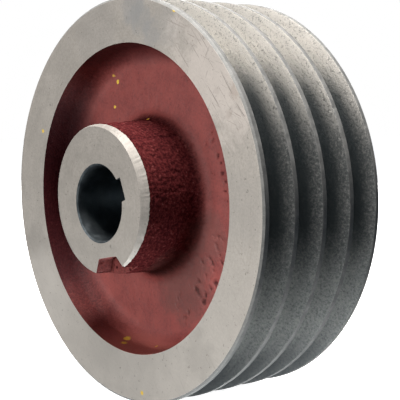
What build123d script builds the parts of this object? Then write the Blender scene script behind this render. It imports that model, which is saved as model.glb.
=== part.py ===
from build123d import *
import math
import os

# Four-groove cast-iron V-belt pulley. Millimetres, +Z up. The spin axis is Y and the front, with the
# proud hub, faces -Y. The origin is on the spin axis, halfway between the two middle grooves.

# Rim: grooves of B section, 19 mm apart
outer_diameter = 214.0
groove_pitch = 19.0
groove_top_width = 16.4
groove_depth = 17.5
groove_angle = 38.0
groove_count = 4
front_land = 3.4            # rim face to the first groove
rear_land = 2.6             # last groove to the rear rim face
front_bevel_radial = 1.2
front_bevel_axial = 0.9
rear_bevel = 0.6

# Recesses as cast in the front and the rear of the rim
recess_radius = 82.0        # at the rim face
recess_draft = 3.5          # degrees
recess_corner = 10.0
recess_centre = (1.5, 1.15)     # X and Z: the core sat a little off the turned axis
web_edge_radius = 79.0          # where the web meets the barrel, about the recess centre

# Web
web_depth = 20.0            # front rim face to the web
web_thickness = 16.0

# Hub
hub_proud = 16.6            # hub face in front of the rim face
hub_length = 80.0
hub_face_radius = 39.0
hub_root_radius = 41.0
hub_corner = 8.0
hub_core_radius = 44.0      # where the hub meets the web, about the spin axis
hub_centre = (0.35, 2.05)   # X and Z of the cast hub
bevel_radius = 39.0         # inner edge of the bevel ground on the hub's front rim
bevel_centre = (-2.7, 0.8)
bevel_reach = 5.0
rear_hub_bevel = 1.0
hub_clearance = 60.0        # radius of the open space cut round the hub's ends

# Bore and keyway
bore_radius = 20.0
bore_chamfer = 0.75
key_width = 12.0
key_floor = 23.3            # spin axis to the floor of the keyway
key_angle = 23.3            # degrees from +X towards +Z

# Cast notch in the underside of the hub's front end
notch_depth = 9.0
notch_outline = ((-5.5, -46.0), (0.0, -29.0), (15.3, -25.9), (34.6, -42.1))
notch_corner = 2.2

# Paint
paint = 0.2

outer_radius = outer_diameter / 2
floor_radius = outer_radius - groove_depth
half_top = groove_top_width / 2
half_floor = half_top - groove_depth * math.tan(math.radians(groove_angle / 2))
groove_centres = [(i - (groove_count - 1) / 2) * groove_pitch for i in range(groove_count)]
front_y = groove_centres[0] - half_top - front_land
rear_y = groove_centres[-1] + half_top + rear_land
hub_front_y = front_y - hub_proud
hub_rear_y = hub_front_y + hub_length
web_front_y = front_y + web_depth
web_rear_y = web_front_y + web_thickness


def turned(points, centre=(0.0, 0.0)):
    """Closed (radius, y) outline revolved about a line parallel to Y through centre."""
    return Pos(centre[0], 0, centre[1]) * revolve(make_face(Polyline(*points, close=True)), Axis.Y)


def turned_with_corner(points, corner_point, radius, centre):
    """The same, with the corner nearest to corner_point rounded."""
    face = make_face(Polyline(*points, close=True))
    corner = face.vertices().sort_by_distance(Vector(corner_point[0], corner_point[1], 0))[0]
    return Pos(centre[0], 0, centre[1]) * revolve(fillet(corner, radius), Axis.Y)


def ring(inner, outer, y_low, y_high, centre=(0.0, 0.0)):
    """Plain ring about a line parallel to Y through centre."""
    return turned(((inner, y_low), (outer, y_low), (outer, y_high), (inner, y_high)), centre)


def recess(y_open, y_web, skin, rounded=True):
    """Space inside the rim between a rim face and the web, its walls moved out by skin."""
    inward = 1 if y_web > y_open else -1
    mouth = recess_radius + skin
    foot = mouth - abs(y_web - y_open) * math.tan(math.radians(recess_draft))
    floor = y_web + inward * skin
    points = ((0, y_open), (mouth, y_open), (foot, floor), (0, floor))
    if not rounded:
        return turned(points, recess_centre)
    return turned_with_corner(points, (foot, floor), recess_corner + skin, recess_centre)


def hub_body(y_face, y_web, skin, rounded=True):
    """Cast hub on one side of the web with its flared foot, its surface moved in by skin."""
    inward = 1 if y_web > y_face else -1
    floor = y_web + inward * skin
    foot = hub_root_radius - skin
    points = (
        (0, y_face),
        (hub_face_radius - skin, y_face),
        (foot, floor),
        (hub_clearance, floor),
        (hub_clearance, floor + inward),
        (0, floor + inward),
    )
    if not rounded:
        return turned(points, hub_centre)
    return turned_with_corner(points, (foot, floor), hub_corner + skin, hub_centre)


def notch(skin):
    """Cast pocket in the hub's front end, open on the face and on the underside."""
    face = make_face(Polyline(*notch_outline, close=True))
    inner_corners = face.vertices().sort_by(Axis.Y)[-2:]
    face = fillet(inner_corners, notch_corner)
    if skin > 0:
        face = offset(face, skin)
    flat = extrude(face, notch_depth + skin)
    # the outline's Y becomes Z, and the extrusion runs from the hub's face towards +Y
    return Pos(0, hub_front_y, 0) * (Rot(90, 0, 0) * mirror(flat, Plane.XY))


def side_space(y_face, y_open, y_web, skin, rounded=True):
    """All the open space round the hub on one side of the web."""
    collar = ring(0, hub_clearance, min(y_face, y_open), max(y_face, y_open))
    space = recess(y_open, y_web, skin, rounded)
    if abs(y_face - y_web) > abs(y_open - y_web):
        space = space + collar
    return space - hub_body(y_face, y_web, skin, rounded)


def front_bevel():
    """Metal that the off-centre bevel takes off the hub's front rim."""
    points = (
        (bevel_radius - 1, hub_front_y - 1),
        (bevel_radius + bevel_reach, hub_front_y + bevel_reach),
        (hub_clearance, hub_front_y + bevel_reach),
        (hub_clearance, hub_front_y - 1),
    )
    return turned(points, bevel_centre)


def rear_bevel_cut():
    """Metal that the bevel takes off the hub's rear rim."""
    inner = hub_face_radius - rear_hub_bevel
    points = (
        (inner, hub_rear_y),
        (inner + 3, hub_rear_y - 3),
        (hub_clearance, hub_rear_y - 3),
        (hub_clearance, hub_rear_y + 1),
        (inner, hub_rear_y + 1),
    )
    return turned(points, hub_centre)


def bore_and_keyway():
    """Bore with chamfered ends, and the keyway that runs through the hub."""
    mouth = bore_radius + bore_chamfer
    bore = turned((
        (0, hub_front_y),
        (mouth, hub_front_y),
        (bore_radius, hub_front_y + bore_chamfer),
        (bore_radius, hub_rear_y - bore_chamfer),
        (mouth, hub_rear_y),
        (0, hub_rear_y),
    ))
    slot = Box(key_floor, hub_length, key_width, align=(Align.MIN, Align.MIN, Align.CENTER))
    return bore + Pos(0, hub_front_y, 0) * (Rot(0, -key_angle, 0) * slot)


def rib(before, after):
    """Ridge between two neighbouring grooves."""
    return turned((
        (floor_radius, before + half_floor),
        (outer_radius, before + half_top),
        (outer_radius, after - half_top),
        (floor_radius, after - half_floor),
    ))


parts = {}
parts["front_flange"] = turned((
    (floor_radius, front_y),
    (outer_radius - front_bevel_radial, front_y),
    (outer_radius, front_y + front_bevel_axial),
    (outer_radius, groove_centres[0] - half_top),
    (floor_radius, groove_centres[0] - half_floor),
))
for number, (before, after) in enumerate(zip(groove_centres, groove_centres[1:]), start=1):
    parts[f"rib_{number}"] = rib(before, after)
parts["rear_flange"] = turned((
    (floor_radius, groove_centres[-1] + half_floor),
    (outer_radius, groove_centres[-1] + half_top),
    (outer_radius, rear_y - rear_bevel),
    (outer_radius - rear_bevel, rear_y),
    (floor_radius, rear_y),
))

iron_front = side_space(hub_front_y, front_y, web_front_y, paint)
iron_rear = side_space(hub_rear_y, rear_y, web_rear_y, paint)
open_front = side_space(hub_front_y, front_y, web_front_y, 0.0)
open_rear = side_space(hub_rear_y, rear_y, web_rear_y, 0.0)

# the web and the barrel meet in square corners, which rings of their own round off
sharp_front = recess(front_y, web_front_y, paint, rounded=False)
sharp_rear = recess(rear_y, web_rear_y, paint, rounded=False)
disc = ring(0, web_edge_radius, web_front_y + paint, web_rear_y - paint, recess_centre)
parts["rim_barrel"] = ring(0, floor_radius, front_y, rear_y) - sharp_front - sharp_rear - disc
parts["web"] = disc - ring(0, hub_core_radius, web_front_y, web_rear_y)
parts["front_web_corner"] = sharp_front - recess(front_y, web_front_y, paint)
parts["rear_web_corner"] = sharp_rear - recess(rear_y, web_rear_y, paint)

hub = ring(0, hub_core_radius, hub_front_y, hub_rear_y)
hub = hub - side_space(hub_front_y, front_y, web_front_y, paint, rounded=False)
hub = hub - side_space(hub_rear_y, rear_y, web_rear_y, paint, rounded=False)
hub = hub - notch(paint) - front_bevel() - rear_bevel_cut() - bore_and_keyway()
parts["hub"] = hub
for name, y_face, y_web in (("front", hub_front_y, web_front_y), ("rear", hub_rear_y, web_rear_y)):
    sharp_hub = hub_body(y_face, y_web, paint, rounded=False)
    parts[f"{name}_hub_foot"] = hub_body(y_face, y_web, paint) - sharp_hub

front_coat = (iron_front - open_front) + (notch(paint) - notch(0.0))
front_coat = front_coat - open_front - notch(0.0) - front_bevel()
parts["front_paint_coat"] = front_coat & ring(0, outer_radius, hub_front_y, web_rear_y)
parts["rear_paint_coat"] = (iron_rear - open_rear) - rear_bevel_cut()

os.makedirs("parts", exist_ok=True)
for name, shape in parts.items():
    export_step(shape, f"parts/{name}.step")
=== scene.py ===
import itertools
import math

import bmesh
import bpy
import numpy as np
from mathutils import Matrix, Vector


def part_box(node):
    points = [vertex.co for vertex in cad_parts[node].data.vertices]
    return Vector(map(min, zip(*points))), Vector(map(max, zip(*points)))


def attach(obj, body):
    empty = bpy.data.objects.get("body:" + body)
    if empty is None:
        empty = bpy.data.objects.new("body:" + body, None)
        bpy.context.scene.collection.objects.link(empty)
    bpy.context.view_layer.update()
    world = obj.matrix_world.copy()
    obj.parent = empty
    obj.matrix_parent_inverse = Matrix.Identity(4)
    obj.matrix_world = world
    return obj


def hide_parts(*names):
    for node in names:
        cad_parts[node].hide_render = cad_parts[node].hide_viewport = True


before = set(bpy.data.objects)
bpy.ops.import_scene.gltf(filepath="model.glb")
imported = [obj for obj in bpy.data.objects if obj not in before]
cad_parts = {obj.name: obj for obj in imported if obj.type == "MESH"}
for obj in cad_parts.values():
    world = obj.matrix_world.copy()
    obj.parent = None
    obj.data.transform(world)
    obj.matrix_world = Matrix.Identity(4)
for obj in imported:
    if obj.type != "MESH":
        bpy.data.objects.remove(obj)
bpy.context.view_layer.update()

# A cast-iron V-belt pulley with four grooves. Metres, in the CAD model's frame: the spin axis is Y, the
# front with the proud hub faces -Y, and Z is up. Angles round the axis go from +X towards +Z. Lengths are
# written in millimetres times MM, and the lists of marks give plain millimetres.
MM = 0.001

# Driving sizes read from the frame
flange_low, flange_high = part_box("front_flange")
hub_low, hub_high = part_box("hub")
OUTER_R = min(flange_high.x, flange_high.z, -flange_low.x, -flange_low.z)
FLOOR_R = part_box("rim_barrel")[1].x
FRONT_Y = flange_low.y
REAR_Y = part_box("rear_flange")[1].y
HUB_FRONT_Y = hub_low.y
HUB_REAR_Y = hub_high.y

# Rim and grooves
PITCH = 19.0 * MM
HALF_TOP = 8.2 * MM
HALF_ANGLE = math.radians(19.0)
HALF_FLOOR = HALF_TOP - (OUTER_R - FLOOR_R) * math.tan(HALF_ANGLE)
GROOVES = [PITCH * step for step in (-1.5, -0.5, 0.5, 1.5)]
FRONT_BEVEL_R = 1.2 * MM
FRONT_BEVEL_Y = 0.9 * MM
REAR_BEVEL = 0.6 * MM
BROKEN_EDGE = 0.28 * MM         # radius on the rings' outer corners

# Recesses, web and hub as cast
RECESS_R = 82.0 * MM
RECESS_DRAFT = math.tan(math.radians(3.5))
RECESS_CORNER = 10.0 * MM
RECESS_CENTRE = np.array((1.5, 1.15)) * MM
WEB_FRONT_Y = FRONT_Y + 20.0 * MM
WEB_REAR_Y = WEB_FRONT_Y + 16.0 * MM
HUB_FACE_R = 39.0 * MM
HUB_ROOT_R = 41.0 * MM
HUB_CORNER = 8.0 * MM
HUB_CENTRE = np.array((0.35, 2.05)) * MM
BEVEL_R = 39.0 * MM
BEVEL_CENTRE = np.array((-2.7, 0.8)) * MM
REAR_HUB_BEVEL = 1.0 * MM

# Bore, keyway and notch
BORE_R = 20.0 * MM
BORE_CHAMFER = 0.75 * MM
KEY_HALF = 6.0 * MM
KEY_FLOOR = 23.3 * MM
KEY_ANGLE = math.radians(23.3)
NOTCH_DEPTH = 9.0 * MM
NOTCH_OUTLINE = [np.array(p) * MM for p in ((-5.5, -46.0), (0.0, -29.0), (15.3, -25.9), (34.6, -42.1))]
NOTCH_CORNER = 2.2 * MM

# Iron and backs of painted skins, out of sight
UNDER = 3.0 * MM                # how far hidden iron lies under the cast surface
HUB_CORE_R = 44.0 * MM
WEB_EDGE_R = 78.0 * MM
SKIN_DEPTH = 2.4 * MM           # painted surface to the back of its shell
MID_WEB_R = 60.0 * MM           # a skin faces the rim inside this radius, and the axis outside it

# Columns of points round the axis, and the distance between rows of points
COLUMNS = 560
CLOSEST_COLUMNS = 0.0009        # radians
RIM_COLUMNS = 900
WALL_STEP = 1.0 * MM
WEB_STEP = 0.8 * MM
FLARE_STEP = 0.85 * MM
RING_STEP = 2.2 * MM
NOTCH_STEP = 0.35 * MM
BACK_STRIDE = 9                 # rows of a painted surface to one row of its back

# Heading and downward tilt of the camera, in degrees
CAMERA_TURN = 49.8965
CAMERA_TILT = 5.4864

TAU = 2 * math.pi


# ---------------------------------------------------------------- numbers that vary over a surface

def lattice(cells, seed):
    """One steady random number from -1 to 1 for each cell, by an integer hash of its three numbers."""
    x, y, z = (cells[..., i].astype(np.uint64) for i in range(3))
    n = x * np.uint64(374761393) + y * np.uint64(668265263) + z * np.uint64(2246822519)
    n = (n + np.uint64(seed * 3266489917)) & np.uint64(0xFFFFFFFF)
    n = ((n ^ (n >> np.uint64(15))) * np.uint64(2246822519)) & np.uint64(0xFFFFFFFF)
    n = ((n ^ (n >> np.uint64(13))) * np.uint64(3266489917)) & np.uint64(0xFFFFFFFF)
    n = n ^ (n >> np.uint64(16))
    return n.astype(np.float64) / 0x7FFFFFFF - 1.0


def lumps(points, size, seed):
    """Smooth noise from about -1 to 1 whose lumps are about size across."""
    above_zero = 1000.0
    spot = points / size + above_zero
    base = np.floor(spot)
    part = spot - base
    ease = part * part * (3 - 2 * part)
    total = np.zeros(points.shape[:-1])
    for corner in itertools.product((0, 1), repeat=3):
        weight = np.prod(np.where(np.array(corner) == 1, ease, 1 - ease), axis=-1)
        total += weight * lattice((base + corner).astype(np.int64), seed)
    return total


def fractal(points, size, seed, octaves=3, keep=0.55):
    """Several sizes of lumps added together, each octave half the size of the one before."""
    total = np.zeros(points.shape[:-1])
    strength = 1.0
    for octave in range(octaves):
        total += strength * lumps(points, size / 2 ** octave, seed + 31 * octave)
        strength *= keep
    return total


def smoothstep(value, low, high):
    """0 below low, 1 above high, with a soft step between."""
    t = np.clip((value - low) / (high - low), 0, 1)
    return t * t * (3 - 2 * t)


# ---------------------------------------------------------------- meshes

def around(radius, angle, y, centre=(0.0, 0.0)):
    """Points at a radius and an angle about a line parallel to Y. The arguments broadcast."""
    radius, angle, y = np.broadcast_arrays(radius, angle, y)
    return np.stack((centre[0] + radius * np.cos(angle), y, centre[1] + radius * np.sin(angle)), axis=-1)


def mesh_object(name, grids, sharp_degrees=38.0, **point_values):
    """Joins grids, each a material slot and its rings of points, into one smooth mesh with sharp edges."""
    vertices = []
    faces = []
    slots = []
    start = 0
    for slot, rings in grids:
        grid = np.array(rings)
        rows, columns = grid.shape[:2]
        index = start + np.arange(rows * columns).reshape(rows, columns)
        vertices.append(grid.reshape(-1, 3))
        after = np.roll(index, -1, axis=1)
        quads = np.stack((index[:-1], index[1:], after[1:], after[:-1]), axis=-1).reshape(-1, 4)
        faces.append(quads)
        slots.append(np.full(len(quads), slot))
        start += rows * columns
    mesh = bpy.data.meshes.new(name)
    mesh.from_pydata(np.concatenate(vertices), [], np.concatenate(faces).tolist())
    mesh.polygons.foreach_set("material_index", np.concatenate(slots).astype(np.int32))
    piece = bpy.data.objects.new(name, mesh)
    bpy.context.scene.collection.objects.link(piece)
    for label, values in point_values.items():
        mesh.attributes.new(label, "FLOAT", "POINT").data.foreach_set("value", values.ravel())
    clean(mesh)
    mesh.shade_smooth()
    mesh.set_sharp_from_angle(angle=math.radians(sharp_degrees))
    return piece


def clean(mesh):
    """Welds grid edges that coincide and removes faces that have no area."""
    work = bmesh.new()
    work.from_mesh(mesh)
    bmesh.ops.remove_doubles(work, verts=work.verts, dist=0.002 * MM)
    bmesh.ops.dissolve_degenerate(work, edges=work.edges, dist=0.001 * MM)
    bmesh.ops.recalc_face_normals(work, faces=work.faces)
    work.to_mesh(mesh)
    work.free()


def path(corners, step):
    """Points (radius, y) along straight runs between corners, about step apart, with every corner kept."""
    points = []
    for (r0, y0), (r1, y1) in zip(corners, corners[1:]):
        count = max(1, int(round(math.hypot(r1 - r0, y1 - y0) / step)))
        for i in range(count):
            t = i / count
            points.append((r0 + (r1 - r0) * t, y0 + (y1 - y0) * t))
    points.append(corners[-1])
    return points


def arc(centre, radius, start, end, step):
    """Points (radius, y) along an arc, angles in degrees, about step apart."""
    count = max(3, int(round(abs(math.radians(end - start)) * radius / step)))
    turns = [math.radians(start + (end - start) * i / count) for i in range(count + 1)]
    return [(centre[0] + radius * math.cos(t), centre[1] + radius * math.sin(t)) for t in turns]


def blend_rows(start, end, count):
    """Rows between two rings of points, with end kept and start left out."""
    return [start + (end - start) * i / count for i in range(1, count + 1)]


def finish_piece(piece, slot, materials, *nodes):
    """Gives a piece its materials and its body, and hides the CAD nodes that it stands for. Its slot is not
    used.
    """
    for material in materials:
        piece.data.materials.append(material)
    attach(piece, "root")
    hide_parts(*nodes)


# ---------------------------------------------------------------- outlines of the casting

def rounded_polyline(corners, radii, step):
    """Points along a polyline, each of its inner corners rounded by its own radius, or left sharp by 0."""
    points = [corners[0]]
    for before, corner, after, radius in zip(corners, corners[1:], corners[2:], radii):
        if radius == 0:
            points.append(corner)
            continue
        into = (corner - before) / np.linalg.norm(corner - before)
        out = (after - corner) / np.linalg.norm(after - corner)
        half_turn = math.acos(float(np.clip(into @ out, -1, 1))) / 2
        back = radius * math.tan(half_turn)
        first, last = corner - into * back, corner + out * back
        for t in np.linspace(0, 1, 9):
            points.append((1 - t) ** 2 * first + 2 * t * (1 - t) * corner + t ** 2 * last)
    points.append(corners[-1])
    dense = []
    for a, b in zip(points, points[1:]):
        count = max(1, int(np.linalg.norm(b - a) / step))
        dense += [a + (b - a) * i / count for i in range(count)]
    return np.array(dense + [points[-1]])


def polar(points, centre):
    """Angles and radii of points about a centre."""
    offset = points - np.array(centre)
    return np.arctan2(offset[:, 1], offset[:, 0]), np.hypot(offset[:, 0], offset[:, 1])


def keyed_radius(angle, circle):
    """Radius of the bore's outline with its keyway, for a bore circle of the given radius."""
    widest = 1.2        # radians either side of the keyway's middle
    turn = (angle - KEY_ANGLE + math.pi) % TAU - math.pi
    facing = np.abs(turn) < widest
    side = np.where(facing, KEY_HALF / np.maximum(np.abs(np.sin(turn)), 1e-6), 0)
    floor = np.where(facing, KEY_FLOOR / np.cos(np.clip(turn, -widest, widest)), 0)
    return np.maximum(circle, np.minimum(side, floor))


def column_angles(count):
    """Even angles, with more where the keyway and the notch have corners and steep walls."""
    even = np.arange(count) * TAU / count - math.pi
    mouth = BORE_R + BORE_CHAMFER
    key_corner = math.atan2(KEY_HALF, KEY_FLOOR)
    key_turns = [math.asin(KEY_HALF / mouth), math.asin(KEY_HALF / BORE_R), key_corner]
    key_turns += list(np.linspace(key_corner, key_turns[1], 5)[1:-1])
    keys = [KEY_ANGLE + sign * turn for sign in (-1, 1) for turn in key_turns]
    angles, radii = polar(NOTCH_CURVE, HUB_CENTRE)
    near = radii < HUB_FACE_R + 2.5 * MM        # the part of the notch's outline on the hub
    every = np.concatenate((even, keys, angles[near][::2]))
    every = np.sort((every + math.pi) % TAU - math.pi)
    kept = [every[0]]
    for angle in every[1:]:
        if angle - kept[-1] > CLOSEST_COLUMNS:
            kept.append(angle)
    return np.array(kept)


NOTCH_CURVE = rounded_polyline(NOTCH_OUTLINE, [NOTCH_CORNER] * 2, NOTCH_STEP)
ANGLES = column_angles(COLUMNS)
RIM_ANGLES = np.arange(RIM_COLUMNS) * TAU / RIM_COLUMNS


def notch_radius(angle):
    """Radius of the notch's outline about the hub's centre, or a large number away from the notch."""
    angles, radii = polar(NOTCH_CURVE, HUB_CENTRE)
    return np.interp(angle, angles, radii, left=1.0, right=1.0)


def recess_run(y_open, y_web, step):
    """Outline (radius, y) of a recess from its mouth down the wall and round the corner to the web."""
    way = 1 if y_web > y_open else -1
    slope = math.atan(RECESS_DRAFT)
    y_mid = y_web - way * RECESS_CORNER
    r_mid = RECESS_R - abs(y_mid - y_open) * RECESS_DRAFT - RECESS_CORNER / math.cos(slope)
    curve = arc((r_mid, 0), RECESS_CORNER, math.degrees(slope), 90, step)
    curve = [(r, y_mid + way * y) for r, y in curve]
    return path([(RECESS_R, y_open), curve[0]], step)[:-1] + curve


def hub_run(y_web, y_face, step):
    """Outline (radius, y) of the hub's side from the web round the flare and out to its face."""
    way = 1 if y_face > y_web else -1
    slope = math.atan((HUB_ROOT_R - HUB_FACE_R) / abs(y_face - y_web))
    y_mid = y_web + way * HUB_CORNER
    r_cone = HUB_ROOT_R - HUB_CORNER * math.tan(slope)
    r_mid = r_cone + HUB_CORNER / math.cos(slope)
    curve = arc((r_mid, 0), HUB_CORNER, 90, 180 - math.degrees(slope), step)
    return [(r, y_mid - way * y) for r, y in curve]


def hub_side_radius(y, y_web, y_face):
    """Radius of the hub's cast side at y."""
    return HUB_ROOT_R + (HUB_FACE_R - HUB_ROOT_R) * (y - y_web) / (y_face - y_web)


# ---------------------------------------------------------------- marks on the surfaces

# Stains on the rim's front face, and a pale spot that is painted light: x and z, size in millimetres,
# strength, colour
FACE_STAINS = [
    ((8.0, 102.0), 10.0, 0.42, (0.24, 0.245, 0.25)),
    ((15.0, 95.0), 10.0, 0.42, (0.24, 0.25, 0.255)),
    ((23.0, 87.0), 8.0, 0.40, (0.25, 0.255, 0.26)),
    ((36.0, 90.0), 11.0, 0.22, (0.27, 0.27, 0.27)),
    ((83.0, 47.0), 2.6, 0.50, (0.20, 0.17, 0.14)),
    ((74.0, 58.0), 2.2, 0.45, (0.19, 0.17, 0.15)),
    ((87.0, 58.0), 4.5, 0.65, (0.14, 0.10, 0.065)),
    ((-88.0, -32.0), 14.0, 0.22, (0.20, 0.19, 0.175)),
    ((60.0, -72.0), 13.0, 0.20, (0.21, 0.20, 0.185)),
    ((95.0, 5.0), 20.0, 0.30, (0.25, 0.24, 0.225)),
    ((-24.0, 92.0), 20.0, 0.24, (0.25, 0.24, 0.23)),
    # painted light: a pale pool at the lower left, not a stain
    ((-80.0, -60.0), 30.0, 0.50, (0.50, 0.475, 0.44)),
]
# Scratch fields on the faces: direction in degrees, width in millimetres, rarity, strength
FACE_SCRATCHES = [(-48.0, 0.9, 0.625, 0.60), (-20.0, 0.8, 0.645, 0.45), (62.0, 0.9, 0.66, 0.35)]
# Flecks of yellow paint on the rim's front face, as x and z in millimetres
FACE_FLECKS = [(-80.0, 35.3), (14.6, -100.3), (42.3, 97.3)]
# Flecks of yellow paint on the primer: place in millimetres, size
PAINT_FLECKS = [
    ((-35.7, -20.1, 67.3), 1.0), ((-32.8, -20.1, 63.4), 0.9), ((-35.9, -20.1, 49.4), 0.7),
    ((0.8, -24.8, 42.8), 0.8), ((-15.2, -27.9, -78.4), 1.5), ((-11.7, -32.5, -79.3), 1.3),
    ((8.1, -25.0, -79.7), 0.9),
]
# Painted shadow of the hub on the primer, below it and to its right: place and size in millimetres, strength
HUB_SHADOWS = [((26.0, -20.0, -42.0), 24.0, 0.5), ((46.0, -20.0, -17.0), 15.0, 0.42)]
# Pits through the front paint: x and z of both ends, radius and depth in millimetres
PLACED_PITS = [
    (35, -44, 36, -45, 1.3, 0.9), (37, -47, 37, -47, 1.0, 0.8), (43, -46, 43, -47, 1.1, 0.9),
    (42, -50, 41, -51, 1.3, 1.0), (48, -29, 48, -30, 1.0, 0.8), (49, -33, 49, -33, 0.8, 0.6),
    (52, -21, 52, -22, 0.8, 0.7), (54, -25, 54, -25, 0.9, 0.7), (55, -28, 56, -29, 1.0, 0.8),
    (37, -40, 38, -40, 1.0, 0.7), (43, -36, 43, -37, 0.8, 0.6), (51, -39, 50, -40, 1.1, 0.8),
    (47, -43, 47, -43, 0.9, 0.7), (20, -51, 20, -52, 1.0, 0.7), (29, -57, 29, -58, 1.2, 0.8),
    (26, -61, 25, -61, 1.1, 0.8), (52, 26, 52, 25, 1.1, 0.8), (54, 22, 54, 22, 1.0, 0.7),
    (55, 17, 56, 17, 1.1, 0.8), (58, 13, 58, 13, 1.0, 0.7), (57, 8, 58, 8, 1.1, 0.8),
    (47, 37, 47, 37, 0.8, 0.6), (59, 3, 59, 3, 1.0, 0.7), (24, 35, 25, 35, 0.9, 0.6),
]


# ---------------------------------------------------------------- materials

class Look:
    """A node material that reads object coordinates."""

    def __init__(self, name, metallic, specular=0.5):
        self.material = bpy.data.materials.new(name)
        self.material.use_nodes = True
        self.tree = self.material.node_tree
        self.shader = self.tree.nodes["Principled BSDF"]
        self.shader.inputs["Metallic"].default_value = metallic
        self.shader.inputs["Specular IOR Level"].default_value = specular
        self.place = self.tree.nodes.new("ShaderNodeTexCoord").outputs["Object"]

    def link(self, source, socket):
        """Joins an output to a socket, or sets the socket to a number or colour."""
        if isinstance(source, bpy.types.NodeSocket):
            self.tree.links.new(source, socket)
        elif isinstance(source, tuple) and socket.type == "RGBA":
            socket.default_value = (*source, 1.0)
        else:
            socket.default_value = source

    def math(self, operation, *values):
        """Arithmetic on numbers."""
        made = self.tree.nodes.new("ShaderNodeMath")
        made.operation = operation
        for value, socket in zip(values, made.inputs):
            self.link(value, socket)
        return made.outputs[0]

    def vector(self, operation, *values):
        """Arithmetic on vectors, which gives a number for a length or a distance."""
        made = self.tree.nodes.new("ShaderNodeVectorMath")
        made.operation = operation
        for value, socket in zip(values, made.inputs):
            self.link(value, socket)
        return made.outputs["Value"] if operation in ("LENGTH", "DISTANCE") else made.outputs["Vector"]

    def noise(self, size, detail=3.0, rough=0.55, where=None, distortion=0.0):
        """Noise from 0 to 1 whose lumps are about size across, in millimetres."""
        made = self.tree.nodes.new("ShaderNodeTexNoise")
        self.link(where or self.place, made.inputs["Vector"])
        made.inputs["Scale"].default_value = 1 / (size * MM)
        made.inputs["Detail"].default_value = detail
        made.inputs["Roughness"].default_value = rough
        made.inputs["Distortion"].default_value = distortion
        return made.outputs["Fac"]

    def span(self, value, low, high, to_low=0.0, to_high=1.0):
        """Maps low..high softly to to_low..to_high."""
        made = self.tree.nodes.new("ShaderNodeMapRange")
        made.interpolation_type = "SMOOTHSTEP"
        for source, socket in zip((value, low, high, to_low, to_high), made.inputs):
            self.link(source, socket)
        return made.outputs[0]

    def mix(self, amount, first, second):
        """First colour where amount is 0, second where it is 1."""
        made = self.tree.nodes.new("ShaderNodeMix")
        made.data_type = "RGBA"
        self.link(amount, made.inputs[0])
        self.link(first, made.inputs[6])
        self.link(second, made.inputs[7])
        return made.outputs[2]

    def spot(self, centre, size, ragged=0.5, grain=4.0):
        """1 inside a ragged spot at a place in millimetres, 0 outside."""
        middle = tuple(c * MM for c in centre)
        away = self.math("DIVIDE", self.vector("DISTANCE", self.place, middle), size * MM)
        uneven = self.math("MULTIPLY", self.math("SUBTRACT", self.noise(grain, 3.0, 0.65), 0.5), 4 * ragged)
        return self.span(self.math("ADD", away, uneven), 0.55, 1.15, 1.0, 0.0)

    def face_spot(self, place, size, ragged, grain):
        """A spot at x and z in millimetres on the front face of the rim."""
        x, z = place
        return self.spot((x, FRONT_Y / MM, z), size, ragged, grain)

    def radial(self):
        """Distance from the spin axis."""
        return self.vector("LENGTH", self.vector("MULTIPLY", self.place, (1.0, 0.0, 1.0)))

    def part(self, axis):
        """One object coordinate, X, Y or Z."""
        made = self.tree.nodes.new("ShaderNodeSeparateXYZ")
        self.link(self.place, made.inputs[0])
        return made.outputs[axis]

    def rings(self, size):
        """Turning marks: noise that changes only with the distance from the spin axis."""
        along = self.tree.nodes.new("ShaderNodeCombineXYZ")
        self.link(self.radial(), along.inputs[0])
        wander = self.math("MULTIPLY", self.noise(30.0, 1.0), 0.002)
        self.link(wander, along.inputs[1])
        return self.noise(size, 4.0, 0.7, along.outputs[0])

    def stored(self, label):
        """A number kept at each point of the mesh."""
        made = self.tree.nodes.new("ShaderNodeAttribute")
        made.attribute_name = label
        return made.outputs["Fac"]

    def scratches(self, degrees, size, rarity):
        """Long thin marks in one direction on the faces."""
        turn = self.tree.nodes.new("ShaderNodeVectorRotate")
        turn.rotation_type = "Y_AXIS"
        turn.inputs["Angle"].default_value = math.radians(degrees)
        self.link(self.place, turn.inputs["Vector"])
        stretched = self.vector("MULTIPLY", turn.outputs[0], (0.045, 1.0, 1.0))
        return self.span(self.noise(size, 2.0, 0.6, stretched, 1.1), rarity, rarity + 0.035)

    def bump(self, height, strength, distance):
        """Relief from a height, of which 1 stands for a distance in millimetres."""
        made = self.tree.nodes.new("ShaderNodeBump")
        made.inputs["Strength"].default_value = strength
        made.inputs["Distance"].default_value = distance * MM
        self.link(height, made.inputs["Height"])
        self.link(made.outputs[0], self.shader.inputs["Normal"])

    def finish(self, colour, roughness):
        """Joins the colour and roughness to the shader and gives the material."""
        self.link(colour, self.shader.inputs["Base Color"])
        self.link(roughness, self.shader.inputs["Roughness"])
        return self.material


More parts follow.
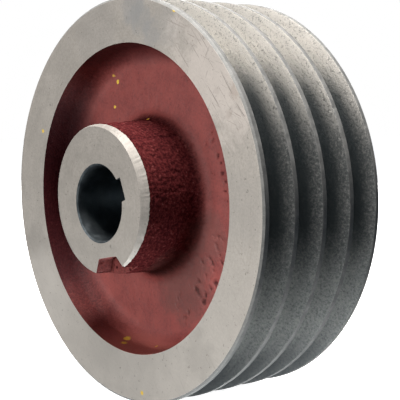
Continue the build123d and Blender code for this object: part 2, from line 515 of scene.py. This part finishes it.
def face_iron():
    """Turned faces: warm grey with fine rings, mottling, stains and thin scratches, and painted light low
    down and at the upper right.
    """
    look = Look("turned_iron_face", 0.55)
    mottle = look.noise(9.0, 5.0, 0.62)
    fine = look.noise(1.3, 3.0, 0.7)
    rings = look.rings(0.42)
    colour = look.mix(look.span(mottle, 0.3, 0.72), (0.342, 0.316, 0.284), (0.364, 0.336, 0.304))
    colour = look.mix(look.span(fine, 0.30, 0.70, 0.0, 0.60), colour, (0.235, 0.22, 0.20))
    colour = look.mix(look.span(rings, 0.3, 0.7, 0.0, 0.22), colour, (0.50, 0.475, 0.44))
    # the hub's end is a little darker than the rim; both get paler downwards, as painted light from below
    hub_end = look.span(look.part("Y"), FRONT_Y - 8 * MM, FRONT_Y - 4 * MM, 0.17, 0.0)
    colour = look.mix(hub_end, colour, (0.13, 0.12, 0.105))
    low = look.span(look.part("Z"), -95 * MM, 30 * MM, 0.58, 0.0)
    colour = look.mix(low, colour, (0.50, 0.475, 0.44))
    for place, size, strength, tint in FACE_STAINS:
        amount = look.math("MULTIPLY", look.face_spot(place, size, 0.45, size * 0.6), strength)
        colour = look.mix(amount, colour, tint)
    # a pale patch at the upper right: partly wear, where the scratches gather, and partly painted light
    wear_and_painted_light = look.face_spot((70.0, 66.0), 34.0, 0.5, 14.0)
    colour = look.mix(look.math("MULTIPLY", wear_and_painted_light, 0.45), colour, (0.60, 0.54, 0.50))
    for degrees, size, rarity, strength in FACE_SCRATCHES:
        lines = look.math("MULTIPLY", look.scratches(degrees, size, rarity), strength)
        colour = look.mix(look.math("MULTIPLY", lines, wear_and_painted_light), colour, (0.15, 0.135, 0.12))
        colour = look.mix(look.math("MULTIPLY", lines, 0.28), colour, (0.22, 0.205, 0.185))
    specks = look.span(look.noise(1.7, 2.0, 0.5), 0.685, 0.75, 0.0, 0.55)
    colour = look.mix(specks, colour, (0.11, 0.10, 0.09))
    for place in FACE_FLECKS:
        colour = look.mix(look.face_spot(place, 1.25, 0.3, 0.9), colour, (0.74, 0.52, 0.08))
    height = look.math("ADD", look.math("MULTIPLY", rings, 0.5), look.math("MULTIPLY", fine, 0.6))
    look.bump(height, 0.35, 0.10)
    return look.finish(colour, look.span(mottle, 0.3, 0.7, 0.52, 0.60))


def groove_iron():
    """Groove walls: turned iron with a strong grain, with painted light at the top and low down, and painted
    shade in the depths and at the bottom.
    """
    look = Look("turned_iron_groove", 0.75)
    mottle = look.noise(6.0, 4.0, 0.6)
    grain = look.noise(1.25, 3.0, 0.8)
    level = look.part("Z")
    colour = look.mix(look.span(mottle, 0.3, 0.7), (0.215, 0.227, 0.222), (0.275, 0.283, 0.272))
    # painted light: paler over the lower half, lit from below, and much paler at the top, lit from above
    colour = look.mix(look.span(level, -46 * MM, -4 * MM, 0.62, 0.0), colour, (0.50, 0.51, 0.49))
    colour = look.mix(look.span(level, 28 * MM, 60 * MM, 0.0, 0.95), colour, (0.84, 0.80, 0.735))
    colour = look.mix(look.span(grain, 0.48, 0.66, 0.0, 0.65), colour, (0.60, 0.58, 0.54))
    colour = look.mix(look.span(grain, 0.50, 0.34, 0.0, 0.62), colour, (0.12, 0.125, 0.125))
    # painted shade: dark towards the floor of each groove, less at the very top and in a band under the
    # middle, and darker still low down
    deep = look.span(look.radial(), OUTER_R - 9 * MM, OUTER_R + 1.5 * MM, 0.95, 0.0)
    deep = look.math("MULTIPLY", deep, look.span(level, 52 * MM, 88 * MM, 1.0, 0.25))
    lowest_shade = look.math("MULTIPLY", deep, look.span(level, -92 * MM, -56 * MM, 1.0, 0.0))
    deep = look.math("MULTIPLY", deep, look.span(level, -34 * MM, -4 * MM, 0.4, 1.0))
    deep = look.math("MAXIMUM", deep, lowest_shade)
    colour = look.mix(deep, colour, (0.04, 0.05, 0.054))
    colour = look.mix(look.span(level, -96 * MM, -52 * MM, 0.80, 0.0), colour, (0.085, 0.095, 0.10))
    # painted shade: the floors themselves are nearly black
    bottom = look.span(look.radial(), FLOOR_R + 0.2 * MM, FLOOR_R + 1.6 * MM, 0.93, 0.0)
    colour = look.mix(bottom, colour, (0.045, 0.052, 0.056))
    look.bump(look.math("ADD", look.rings(0.5), grain), 0.6, 0.18)
    return look.finish(colour, look.span(grain, 0.3, 0.7, 0.36, 0.52))


def land_iron():
    """Lands between the grooves: matt grey iron with paler specks, and painted shade on the lower lands."""
    look = Look("turned_iron_land", 0.6, 0.3)
    mottle = look.noise(5.0, 4.0, 0.6)
    grain = look.noise(0.9, 3.0, 0.7)
    colour = look.mix(look.span(mottle, 0.3, 0.7), (0.17, 0.172, 0.166), (0.25, 0.25, 0.24))
    colour = look.mix(look.span(grain, 0.5, 0.8, 0.0, 0.4), colour, (0.46, 0.445, 0.42))
    # painted shade on the lands low down
    under = look.span(look.part("Z"), -92 * MM, -45 * MM, 0.65, 0.0)
    colour = look.mix(under, colour, (0.075, 0.078, 0.078))
    look.bump(grain, 0.4, 0.08)
    return look.finish(colour, look.span(mottle, 0.3, 0.7, 0.60, 0.75))


def bore_iron():
    """Bore and keyway: nearly black with painted shade, with turning marks round the bore."""
    look = Look("bored_iron", 0.8)
    mottle = look.noise(7.0, 4.0, 0.6)
    across = look.vector("MULTIPLY", look.place, (0.02, 1.0, 0.02))
    marks = look.noise(0.5, 3.0, 0.6, across)
    # the dark bluish colours are painted shade inside the bore
    colour = look.mix(look.span(mottle, 0.3, 0.7), (0.065, 0.08, 0.09), (0.12, 0.14, 0.15))
    colour = look.mix(look.span(marks, 0.4, 0.7, 0.0, 0.3), colour, (0.12, 0.12, 0.118))
    look.bump(marks, 0.35, 0.08)
    return look.finish(colour, look.span(mottle, 0.3, 0.7, 0.34, 0.5))


def primer():
    """Matt red-oxide primer on rough casting, with painted shade in its hollows, on the hub and round the
    recess, painted light low on its wall, and flecks of yellow paint.
    """
    look = Look("red_oxide_primer", 0.0, 0.5)
    cloud = look.noise(11.0, 4.0, 0.6)
    grain = look.noise(1.1, 4.0, 0.7)
    hollow = look.stored("hollow")
    sandy = look.stored("sandy")
    level = look.part("Z")
    colour = look.mix(look.span(cloud, 0.28, 0.72), (0.185, 0.031, 0.028), (0.262, 0.050, 0.042))
    colour = look.mix(look.span(grain, 0.35, 0.75, 0.0, 0.55), colour, (0.34, 0.086, 0.078))
    colour = look.mix(look.span(grain, 0.45, 0.25, 0.0, 0.75), colour, (0.10, 0.020, 0.019))
    # painted shade in the hollows and pits
    colour = look.mix(look.span(hollow, 0.15, 0.95, 0.0, 0.8), colour, (0.055, 0.009, 0.011))
    # painted shade darkens the sand-cast stretches on the hub and the shaded part of the wall, more between
    # the grains, and a painted highlight lies on the grain tops
    sand = look.noise(1.4, 3.0, 0.7)
    colour = look.mix(look.math("MULTIPLY", sandy, 0.80), colour, (0.036, 0.006, 0.008))
    valley_shade = look.math("MULTIPLY", look.span(sand, 0.58, 0.38), look.math("MULTIPLY", sandy, 0.65))
    colour = look.mix(valley_shade, colour, (0.010, 0.002, 0.003))
    crest_highlight = look.math("MULTIPLY", look.span(sand, 0.60, 0.74), look.math("MULTIPLY", sandy, 0.55))
    colour = look.mix(crest_highlight, colour, (0.24, 0.10, 0.09))
    # painted shadow darkens the recess on its left, painted light makes the bottom of its wall palest, and
    # painted shade darkens its top
    left = look.span(look.part("X"), -70 * MM, -44 * MM, 0.78, 0.0)
    left = look.math("MULTIPLY", left, look.span(level, -84 * MM, -50 * MM, 0.3, 1.0))
    colour = look.mix(left, colour, (0.022, 0.003, 0.005))
    colour = look.mix(look.span(level, -80 * MM, -73 * MM, 0.65, 0.0), colour, (0.46, 0.13, 0.105))
    colour = look.mix(look.span(level, 70 * MM, 77 * MM, 0.0, 0.5), colour, (0.05, 0.009, 0.010))
    matt = look.math("SUBTRACT", 1.0, look.math("MAXIMUM", sandy, left))
    look.link(look.math("MULTIPLY", matt, 0.5), look.shader.inputs["Specular IOR Level"])
    # painted shadow of the hub on the web
    for centre, size, strength in HUB_SHADOWS:
        hub_shadow = look.math("MULTIPLY", look.spot(centre, size, 0.25, 8.0), strength)
        colour = look.mix(hub_shadow, colour, (0.085, 0.040, 0.034))
    for centre, size in PAINT_FLECKS:
        colour = look.mix(look.spot(centre, 1.45 * size, 0.35, 1.0), colour, (0.78, 0.52, 0.05))
    sand_height = look.math("MULTIPLY", sand, look.math("MULTIPLY", sandy, 2.2))
    look.bump(look.math("ADD", grain, sand_height), 0.7, 0.3)
    rough = look.math("ADD", look.span(grain, 0.3, 0.7, 0.5, 0.72), look.math("MULTIPLY", hollow, 0.4))
    return look.finish(colour, look.math("MINIMUM", rough, 1.0))


FACE_IRON = face_iron()
GROOVE_IRON = groove_iron()
LAND_IRON = land_iron()
BORE_IRON = bore_iron()
PAINT = primer()


# ---------------------------------------------------------------- cast skins under paint

def grid_normals(grid, outward):
    """Unit normals of a grid that is closed round its columns, facing the side that outward points to."""
    along = np.gradient(grid, axis=0)
    across = np.roll(grid, -1, axis=1) - np.roll(grid, 1, axis=1)
    normal = np.cross(along, across)
    length = np.linalg.norm(normal, axis=2, keepdims=True)
    normal = np.where(length > 1e-12, normal / np.maximum(length, 1e-12), 0)
    facing = np.sign(np.sum(normal * outward, axis=2, keepdims=True))
    return normal * facing


def front_pits():
    """The placed pits of the front paint, and many small ones scattered over the right of the web."""
    pick = np.random.default_rng(7)
    count = 60
    turns = pick.uniform(-1.25, 0.65, count)
    reaches = pick.uniform(50, 72, count)
    lengths = pick.uniform(0, 1, count)
    small = []
    for turn, reach, length in zip(turns, reaches, lengths):
        x, z = reach * math.cos(turn), reach * math.sin(turn)
        radius = pick.uniform(0.5, 0.95)
        depth = pick.uniform(0.3, 0.6)
        small.append((x, z, x + length * math.sin(9 * turn), z - length, radius, depth))
    return PLACED_PITS + small


def pits(points, places, seed):
    """Depth of long uneven pits, each from (x, z) to (x, z) with a radius and a depth, in millimetres."""
    depth = np.zeros(points.shape[:-1])
    wobble = 0.55 * fractal(points, 1.5 * MM, seed, 2)
    flat = points[..., [0, 2]] / MM
    for x0, z0, x1, z1, radius, deep in places:
        start, run = np.array((x0, z0)), np.array((x1 - x0, z1 - z0))
        along = np.clip((flat - start) @ run / max(run @ run, 1), 0, 1)
        away = np.linalg.norm(flat - start - along[..., None] * run, axis=-1) / radius
        depth = np.maximum(depth, deep * MM * (1 - smoothstep(away + wobble, 0.5, 1.15)))
    return depth


def cast_surface(points, seed, coarse, fine):
    """Height of a sand-cast skin: broad waves, grains and a few small hollows."""
    broad = fractal(points, 9 * MM, seed, 2)
    grain = fractal(points, 1.9 * MM, seed + 7, 2, 0.8)
    hollow = smoothstep(lumps(points, 3.4 * MM, seed + 19), 0.45, 0.95)
    return coarse * broad * MM + fine * grain * MM - 1.6 * fine * hollow * MM


def hub_distance(points):
    """Distance of points from the cast hub's own axis."""
    return np.hypot(points[..., 0] - HUB_CENTRE[0], points[..., 2] - HUB_CENTRE[1])


def hub_end_depth(angle):
    """How far behind the hub's face its cast side ends, where the off-centre bevel cuts it."""
    edge = around(HUB_FACE_R, angle, 0.0, HUB_CENTRE)
    away = np.hypot(edge[..., 0] - BEVEL_CENTRE[0], edge[..., 2] - BEVEL_CENTRE[1])
    return np.maximum(0.0, away - BEVEL_R)


def paint_edge(angle):
    """Depth behind the hub's face where the paint stops, ragged along the ground bevel."""
    spots = around(HUB_FACE_R, angle, HUB_FRONT_Y, HUB_CENTRE)
    ragged = 0.45 * MM * np.abs(fractal(spots, 2.6 * MM, 71, 3, 0.6))
    return hub_end_depth(angle) + ragged


def in_notch(angle):
    """True where the notch cuts through the hub's side."""
    reach = notch_radius(angle)
    return (reach < HUB_FACE_R) & (reach > 10 * MM)


def front_side_end(angle):
    """y where the hub's painted side ends: the notch's end wall, or the bevel."""
    return HUB_FRONT_Y + np.where(in_notch(angle), NOTCH_DEPTH, paint_edge(angle))


def skin_grid(y_open, y_web, y_face, side_end, side_rows):
    """Grid of a painted skin: recess wall from its mouth, web, flare, and the hub's side to its end."""
    wall = np.array(recess_run(y_open, y_web, WALL_STEP))
    flare = np.array(hub_run(y_web, y_face, FLARE_STEP))
    web_outer = around(wall[-1, 0], ANGLES, y_web, RECESS_CENTRE)
    web_inner = around(flare[0, 0], ANGLES, y_web, HUB_CENTRE)
    web_rows = int((wall[-1, 0] - flare[0, 0]) / WEB_STEP)
    side_start = flare[-1, 1]
    side_foot = around(hub_side_radius(side_start, y_web, y_face), ANGLES, side_start, HUB_CENTRE)
    side_edge = around(hub_side_radius(side_end, y_web, y_face), ANGLES, side_end, HUB_CENTRE)
    rows = [around(r, ANGLES, y, RECESS_CENTRE) for r, y in wall]
    rows += blend_rows(web_outer, web_inner, web_rows)[:-1]
    rows += [around(r, ANGLES, y, HUB_CENTRE) for r, y in flare]
    rows += blend_rows(side_foot, side_edge, side_rows)
    return np.array(rows)


def notch_rows(side_end):
    """Rows of the notch's end wall and then of its side, collapsed to a point away from the notch."""
    cut = in_notch(ANGLES)
    side = hub_side_radius(side_end, WEB_FRONT_Y, HUB_FRONT_Y)
    reach = np.where(cut, notch_radius(ANGLES), side)
    outer = around(side, ANGLES, side_end, HUB_CENTRE)
    inner = around(reach, ANGLES, side_end, HUB_CENTRE)
    mouth = around(reach, ANGLES, np.where(cut, HUB_FRONT_Y, side_end), HUB_CENTRE)
    return blend_rows(outer, inner, 8) + blend_rows(inner, mouth, 10)


def skin_outward(grid, y_web, y_face):
    """Direction that each point of a painted skin roughly faces, away from the iron."""
    way = 1.0 if y_face > y_web else -1.0
    outward = np.zeros_like(grid)
    outward[..., 1] = 0.6 * way
    from_hub = grid[..., [0, 2]] - HUB_CENTRE
    radius = np.linalg.norm(from_hub, axis=2, keepdims=True)
    outward[..., [0, 2]] = np.where(radius < MID_WEB_R, from_hub, -from_hub) / radius
    return outward


def close_behind(front, base, normals):
    """Adds a coarse back to a skin, so that it is a closed shell."""
    rows = list(range(BACK_STRIDE, len(base) - 1, BACK_STRIDE))
    back = base[rows] - normals[rows] * SKIN_DEPTH
    return np.concatenate((front, back[::-1], front[:1]))


def sand_and_shade_amount(shell):
    """How much sand-cast grain and painted shade the primer has: most on the hub, less in its notch, and
    some on the wall, more to its left and top.
    """
    from_hub = hub_distance(shell)
    shaded = np.clip(np.maximum(-shell[..., 0], 0.6 * shell[..., 2]) / (80 * MM), 0.1, 1)
    sandy = 1 - smoothstep(from_hub, HUB_ROOT_R, 45 * MM)
    sandy += 0.9 * shaded * smoothstep(from_hub, 72 * MM, 80 * MM)
    notched = in_notch(ANGLES) & (shell[..., 1] < HUB_FRONT_Y + NOTCH_DEPTH + 0.1 * MM)
    return np.where(notched, 0.5 * sandy, sandy)


def skin_piece(name, base, y_web, y_face, end_fade, seed, places, node):
    """Painted casting: a rough front over a plain back. The roughness fades out where end_fade is 0."""
    normals = grid_normals(base, skin_outward(base, y_web, y_face))
    on_hub = 1 - smoothstep(hub_distance(base), HUB_ROOT_R, 50 * MM)
    height = cast_surface(base, seed, 0.10, 0.07) * (1 - on_hub)
    height += cast_surface(base, seed + 3, 0.12, 0.20) * on_hub
    height = np.minimum(height, 0.3 * MM) - pits(base, places, seed + 50)
    # the first rows, at the recess's mouth, stay smooth
    rows = np.arange(len(base))[:, None]
    height *= smoothstep(rows, 0, 3) * end_fade
    front = base + normals * height[..., None]
    shell = close_behind(front, base, normals)
    hollow = np.zeros(shell.shape[:2])
    hollow[:len(front)] = np.clip(-height / (0.9 * MM), 0, 1)
    piece = mesh_object(name, [(0, shell)], 50.0, hollow=hollow, sandy=sand_and_shade_amount(shell))
    finish_piece(piece, "red_oxide_paint", [PAINT], node)


def front_primer():
    """Painted skin of the front recess, the web, the hub's front end and its notch."""
    side_end = front_side_end(ANGLES)
    base = skin_grid(FRONT_Y, WEB_FRONT_Y, HUB_FRONT_Y, side_end, 42)
    base = np.concatenate((base, notch_rows(side_end)))
    gap = np.abs(base[..., 1] - HUB_FRONT_Y)
    fade = smoothstep(gap, 0.3 * MM, 1.6 * MM) * np.where(in_notch(ANGLES), 0.75, 1.0)
    skin_piece("front_primer", base, WEB_FRONT_Y, HUB_FRONT_Y, fade, 11, front_pits(), "front_paint_coat")


def rear_primer():
    """Painted skin of the rear recess, the web and the hub's rear end."""
    side_end = np.full(len(ANGLES), HUB_REAR_Y - REAR_HUB_BEVEL)
    base = skin_grid(REAR_Y, WEB_REAR_Y, HUB_REAR_Y, side_end, 26)
    gap = np.abs(base[..., 1] - side_end)
    on_hub = np.hypot(base[..., 0], base[..., 2]) < 45 * MM
    fade = np.where(on_hub, smoothstep(gap, 0.2 * MM, 1.4 * MM), 1.0)
    skin_piece("rear_primer", base, WEB_REAR_Y, HUB_REAR_Y, fade, 41, [], "rear_paint_coat")


# ---------------------------------------------------------------- bare iron of the hub and web

def bevel_start(angle):
    """Radius about the hub's centre where the flat of its front face ends."""
    offset = HUB_CENTRE - BEVEL_CENTRE
    along = offset[0] * np.cos(angle) + offset[1] * np.sin(angle)
    circle = -along + np.sqrt(along ** 2 - offset @ offset + BEVEL_R ** 2)
    return np.minimum(circle, HUB_FACE_R - 0.12 * MM)


def bore_ring(circle, y):
    """Ring of points round the bore and its keyway, for a bore circle of the given radius."""
    return around(keyed_radius(ANGLES, circle), ANGLES, y)


def hidden_hub_rings(end_r, end_y):
    """Rings of the hub's iron under the paint, from behind its front edge to behind its rear edge."""
    inner_r = np.minimum(end_r, HUB_FACE_R) - UNDER
    side_r = HUB_FACE_R - UNDER
    outline = (
        (inner_r, end_y + UNDER),
        (inner_r, HUB_FRONT_Y + NOTCH_DEPTH + UNDER),
        (side_r, WEB_FRONT_Y + UNDER),
        (HUB_CORE_R, WEB_FRONT_Y + UNDER),
        (HUB_CORE_R, WEB_REAR_Y - UNDER),
        (side_r, WEB_REAR_Y - UNDER),
        (side_r, HUB_REAR_Y - UNDER),
    )
    return [around(r, ANGLES, y, HUB_CENTRE) for r, y in outline]


def hub_piece():
    """Bare iron of the hub: bore, keyway, both faces, the front bevel, and a hidden side under the paint."""
    cut = in_notch(ANGLES)
    bore_front = bore_ring(BORE_R, HUB_FRONT_Y + BORE_CHAMFER)
    bore_rear = bore_ring(BORE_R, HUB_REAR_Y - BORE_CHAMFER)
    mouth_front = bore_ring(BORE_R + BORE_CHAMFER, HUB_FRONT_Y)
    mouth_rear = bore_ring(BORE_R + BORE_CHAMFER, HUB_REAR_Y)
    end_y = np.where(cut, HUB_FRONT_Y, front_side_end(ANGLES))
    end_r = np.where(cut, notch_radius(ANGLES), hub_side_radius(end_y, WEB_FRONT_Y, HUB_FRONT_Y))
    flat_end = around(np.where(cut, end_r, bevel_start(ANGLES)), ANGLES, HUB_FRONT_Y, HUB_CENTRE)
    front_edge = around(end_r, ANGLES, end_y, HUB_CENTRE)
    rear_edge = around(HUB_FACE_R + 0.05 * MM, ANGLES, HUB_REAR_Y - REAR_HUB_BEVEL, HUB_CENTRE)
    rear_flat = around(HUB_FACE_R - REAR_HUB_BEVEL, ANGLES, HUB_REAR_Y, HUB_CENTRE)
    bore = [bore_rear] + blend_rows(bore_rear, bore_front, 24)
    chamfer = [bore_front, mouth_front]
    front = [mouth_front] + blend_rows(mouth_front, flat_end, 12) + blend_rows(flat_end, front_edge, 4)
    rear = [front_edge] + hidden_hub_rings(end_r, end_y) + [rear_edge, rear_flat]
    rear += blend_rows(rear_flat, mouth_rear, 6) + [bore_rear]
    piece = mesh_object("hub_iron", [(1, bore), (1, chamfer), (0, front), (0, rear)])
    finish_piece(piece, "cast_iron", [FACE_IRON, BORE_IRON], "hub", "front_hub_foot", "rear_hub_foot")


def web_piece():
    """Iron of the web, out of sight between the two painted skins."""
    front_y, rear_y = WEB_FRONT_Y + UNDER, WEB_REAR_Y - UNDER
    outline = [(HUB_CORE_R, front_y), (WEB_EDGE_R, front_y), (WEB_EDGE_R, rear_y), (HUB_CORE_R, rear_y)]
    rows = [around(r, ANGLES, y) for r, y in outline + outline[:1]]
    piece = mesh_object("web_iron", [(0, rows)])
    finish_piece(piece, "cast_iron", [GROOVE_IRON], "web", "front_web_corner", "rear_web_corner")


# ---------------------------------------------------------------- rim

def wear(grid):
    """Presses dents and small chips into a ring's outer edges."""
    radius = np.hypot(grid[..., 0], grid[..., 2])
    outer = smoothstep(radius, OUTER_R - 1.6 * MM, OUTER_R)
    dents = smoothstep(lumps(grid, 4.5 * MM, 301), 0.62, 0.95) * 0.30 * MM
    chips = smoothstep(lumps(grid, 1.7 * MM, 302), 0.66, 0.95) * 0.22 * MM
    press = (dents + chips) * outer
    scale = 1 - press / radius
    return grid * np.stack((scale, np.ones_like(scale), scale), axis=-1)


def ring_slot(start, end):
    """Material slot between two points (radius, y) of a ring's outline: 0 face, 1 groove wall, 2 land."""
    on_front = max(start[1], end[1]) < FRONT_Y + 0.1 * MM
    on_rear = min(start[1], end[1]) > REAR_Y - REAR_BEVEL - 0.05 * MM
    if on_front or on_rear:
        return 0
    inside_land = (start[0] + end[0]) / 2 < OUTER_R - 0.35 * MM
    behind_bevel = start[1] > FRONT_Y + FRONT_BEVEL_Y + 0.1 * MM
    return 1 if inside_land and behind_bevel else 2


def ring_piece(node, corners):
    """One turned ring of the rim, from its corners (radius, y), with those above the groove floor broken."""
    closed = [np.array(corner) for corner in corners + corners[:1]]
    radii = [BROKEN_EDGE if corner[0] > FLOOR_R + 1e-6 else 0 for corner in closed[1:-1]]
    outline = rounded_polyline(closed, radii, RING_STEP)
    grid = wear(np.array([around(r, RIM_ANGLES, y) for r, y in outline]))
    bands = enumerate(zip(outline, outline[1:]))
    grids = [(ring_slot(start, end), grid[row:row + 2]) for row, (start, end) in bands]
    piece = mesh_object(f"{node}_iron", grids)
    finish_piece(piece, "cast_iron", [FACE_IRON, GROOVE_IRON, LAND_IRON], node)


def rim_pieces():
    """Front flange, three ribs and rear flange."""
    first, last = GROOVES[0], GROOVES[-1]
    ring_piece("front_flange", [
        (FLOOR_R, FRONT_Y),
        (OUTER_R - FRONT_BEVEL_R, FRONT_Y),
        (OUTER_R, FRONT_Y + FRONT_BEVEL_Y),
        (OUTER_R, first - HALF_TOP),
        (FLOOR_R, first - HALF_FLOOR),
    ])
    for number, (before, after) in enumerate(zip(GROOVES, GROOVES[1:]), start=1):
        ring_piece(f"rib_{number}", [
            (FLOOR_R, before + HALF_FLOOR),
            (OUTER_R, before + HALF_TOP),
            (OUTER_R, after - HALF_TOP),
            (FLOOR_R, after - HALF_FLOOR),
        ])
    ring_piece("rear_flange", [
        (FLOOR_R, last + HALF_FLOOR),
        (OUTER_R, last + HALF_TOP),
        (OUTER_R, REAR_Y - REAR_BEVEL),
        (OUTER_R - REAR_BEVEL, REAR_Y),
        (FLOOR_R, REAR_Y),
    ])


def barrel_piece():
    """Iron between the grooves and the recesses, with the flat ring of each rim face."""
    front_in = around(RECESS_R, ANGLES, FRONT_Y, RECESS_CENTRE)
    rear_in = around(RECESS_R, ANGLES, REAR_Y, RECESS_CENTRE)
    front_out = around(FLOOR_R, ANGLES, FRONT_Y)
    rear_out = around(FLOOR_R, ANGLES, REAR_Y)
    hidden_front = around(RECESS_R + UNDER, ANGLES, FRONT_Y + UNDER, RECESS_CENTRE)
    hidden_rear = around(RECESS_R + UNDER, ANGLES, REAR_Y - UNDER, RECESS_CENTRE)
    front = [hidden_front, front_in] + blend_rows(front_in, front_out, 5)
    floor = [front_out] + blend_rows(front_out, rear_out, 24)
    rear = [rear_out] + blend_rows(rear_out, rear_in, 5) + [hidden_rear, hidden_front]
    piece = mesh_object("barrel_iron", [(0, front), (1, floor), (0, rear)])
    finish_piece(piece, "cast_iron", [FACE_IRON, GROOVE_IRON], "rim_barrel")


# ---------------------------------------------------------------- camera, floor and light

def studio_camera():
    """Camera at the photograph's viewing angle, in front of the pulley, to its right and a little above."""
    data = bpy.data.cameras.new("camera")
    data.lens = 95.35
    data.sensor_width = 36.0
    data.clip_start = 0.01
    data.clip_end = 20.0
    camera = bpy.data.objects.new("camera", data)
    camera.location = Vector((452.0, -368.5, 54.3)) * MM
    camera.rotation_euler = (math.radians(90.0 - CAMERA_TILT), 0.0, math.radians(CAMERA_TURN))
    bpy.context.scene.collection.objects.link(camera)
    bpy.context.scene.camera = camera


def pale_floor():
    """White floor for the camera, which neither lights the pulley nor blocks the light from below."""
    mesh = bpy.data.meshes.new("floor")
    work = bmesh.new()
    bmesh.ops.create_grid(work, x_segments=8, y_segments=8, size=3.0)
    work.to_mesh(mesh)
    work.free()
    look = Look("pale_floor", 0.0, 0.2)
    look.shader.inputs["Emission Color"].default_value = (1.0, 1.0, 1.0, 1.0)
    look.shader.inputs["Emission Strength"].default_value = 0.95
    mesh.materials.append(look.finish((0.9, 0.9, 0.9), 0.9))
    floor = bpy.data.objects.new("floor", mesh)
    floor.location.z = flange_low.z
    floor.visible_diffuse = False
    floor.visible_glossy = False
    floor.visible_shadow = False
    bpy.context.scene.collection.objects.link(floor)


def studio_world():
    """White behind the pulley, and a weak cool light from all round it."""
    world = bpy.data.worlds.new("studio")
    world.use_nodes = True
    tree = world.node_tree
    fill = tree.nodes["Background"]
    fill.inputs["Color"].default_value = (0.62, 0.80, 1.0, 1.0)
    fill.inputs["Strength"].default_value = 0.07
    backdrop = tree.nodes.new("ShaderNodeBackground")
    backdrop.inputs["Color"].default_value = (1.0, 1.0, 1.0, 1.0)
    backdrop.inputs["Strength"].default_value = 1.0
    seen = tree.nodes.new("ShaderNodeLightPath")
    either = tree.nodes.new("ShaderNodeMixShader")
    tree.links.new(seen.outputs["Is Camera Ray"], either.inputs[0])
    tree.links.new(fill.outputs[0], either.inputs[1])
    tree.links.new(backdrop.outputs[0], either.inputs[2])
    tree.links.new(either.outputs[0], tree.nodes["World Output"].inputs["Surface"])
    bpy.context.scene.world = world
    bpy.context.scene.view_settings.view_transform = "Standard"


def area_light(name, place, target, size, power, colour):
    """Soft rectangular light at a place, pointing at a target, with its power in watts."""
    data = bpy.data.lights.new(name, "AREA")
    data.shape = "RECTANGLE"
    data.size, data.size_y = size
    data.energy = power
    data.color = colour
    light = bpy.data.objects.new(name, data)
    light.location = place
    light.rotation_euler = (Vector(target) - Vector(place)).to_track_quat("-Z", "Y").to_euler()
    bpy.context.scene.collection.objects.link(light)


# ---------------------------------------------------------------- the pulley and its studio

front_primer()
rear_primer()
hub_piece()
rim_pieces()
barrel_piece()
web_piece()

studio_camera()
pale_floor()
studio_world()
area_light("key", (-0.20, -1.32, 0.02), (0.0, 0.0, 0.0), (0.5, 0.7), 15.5, (1.0, 0.975, 0.945))
area_light("top", (0.08, -0.16, 0.93), (0.05, 0.0, 0.0), (0.35, 0.45), 28.0, (1.0, 0.97, 0.95))
area_light("low", (0.03, -0.03, -0.63), (0.0, 0.0, 0.0), (0.14, 0.40), 8.2, (0.97, 0.99, 1.0))
area_light("back", (-0.95, 1.00, 0.35), (0.0, 0.0, 0.0), (0.8, 0.8), 22.0, (1.0, 0.985, 0.97))
